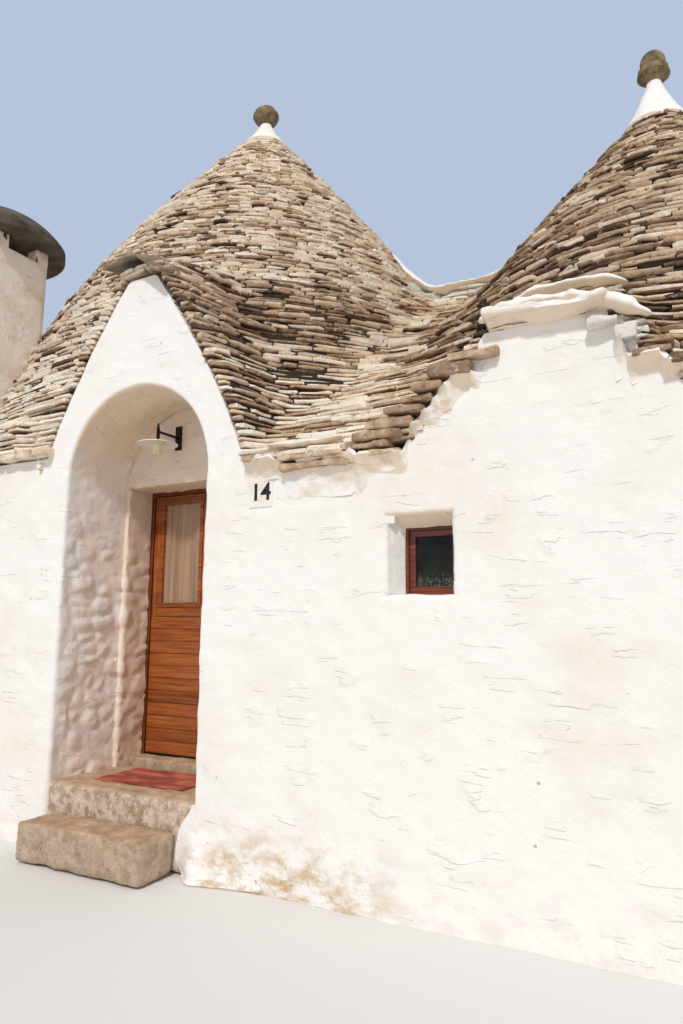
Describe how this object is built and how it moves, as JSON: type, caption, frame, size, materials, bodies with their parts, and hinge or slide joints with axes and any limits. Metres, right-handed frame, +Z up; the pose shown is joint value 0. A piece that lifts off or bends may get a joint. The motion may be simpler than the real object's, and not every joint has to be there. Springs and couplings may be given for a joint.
{
  "type": "trullo house",
  "caption": "Dry-stone trullo house with corbelled cones over whitewashed walls, a gabled arched porch, a small window and a pair of glazed doors that open inwards.",
  "frame": {"origin": "middle of the house's plan, on the ground", "axes": "+X along the front to the right as seen from the street, +Y from the front to the back, +Z up"},
  "size_m": [9.3, 5.69, 7.5175],
  "materials": {
    "limewashed_masonry": "matt limewash",
    "step_stone": "worn, dusty",
    "roof_stone": "rough, weathered",
    "weathered_stone": "rough, lichened",
    "rough_render": "rough limewashed render",
    "varnished_wood": "satin varnish",
    "door_glass": "clear, blind behind",
    "red_wood": "satin varnish",
    "dark_glass": "clear",
    "number_tile": "glazed",
    "black_iron": "semi-matt black",
    "white_enamel": "gloss enamel",
    "lamp_glass": "opal",
    "mat_fabric": "woven"
  },
  "bodies": {
    "house": {"front_wall_left": "limewashed_masonry", "front_wall_middle": "limewashed_masonry", "front_wall_right": "limewashed_masonry", "wall_under_window": "limewashed_masonry", "wall_over_window": "limewashed_masonry", "back_wall": "limewashed_masonry", "left_party_wall": "limewashed_masonry", "right_party_wall": "limewashed_masonry", "shared_wall": "limewashed_masonry", "left_floor": "step_stone", "right_floor": "step_stone", "porch_floor": "step_stone", "door_sill": "step_stone", "lower_step": "step_stone", "porch_gable": "limewashed_masonry", "door_lintel": "limewashed_masonry", "gable_roof": "roof_stone", "gable_cap": "weathered_stone", "left_dome": "limewashed_masonry", "left_cone": "roof_stone", "right_dome": "limewashed_masonry", "right_cone": "roof_stone", "saddle_roof": "roof_stone", "left_eaves": "roof_stone", "right_eaves": "roof_stone", "eyebrow_wall": "limewashed_masonry", "eyebrow_roof": "roof_stone", "eyebrow_hood": "limewashed_masonry", "left_finial": "limewashed_masonry", "left_ball": "weathered_stone", "right_finial": "limewashed_masonry", "right_ball": "weathered_stone", "chimney_shaft": "rough_render", "chimney_cap": "weathered_stone", "door_frame": "varnished_wood", "window_frame": "red_wood", "window_sash": "red_wood", "window_glass": "dark_glass", "number_plate": "number_tile", "lamp_bracket": "black_iron", "lamp_shade": "white_enamel", "lamp_glass": "lamp_glass", "door_mat": "mat_fabric"},
    "left_leaf": {"left_door": "varnished_wood", "left_door_glass": "door_glass"},
    "right_leaf": {"right_door": "varnished_wood", "right_door_glass": "door_glass"}
  },
  "joints": [
    {"name": "left_leaf_hinge", "type": "hinge", "parent": "house", "child": "left_leaf", "pos_m": [-1.832, -1.697, 0.514], "axis": [0, 0, 1], "range_deg": [0, 90]},
    {"name": "right_leaf_hinge", "type": "hinge", "parent": "house", "child": "right_leaf", "pos_m": [-0.668, -1.697, 0.514], "axis": [0, 0, -1], "range_deg": [0, 90]}
  ]
}
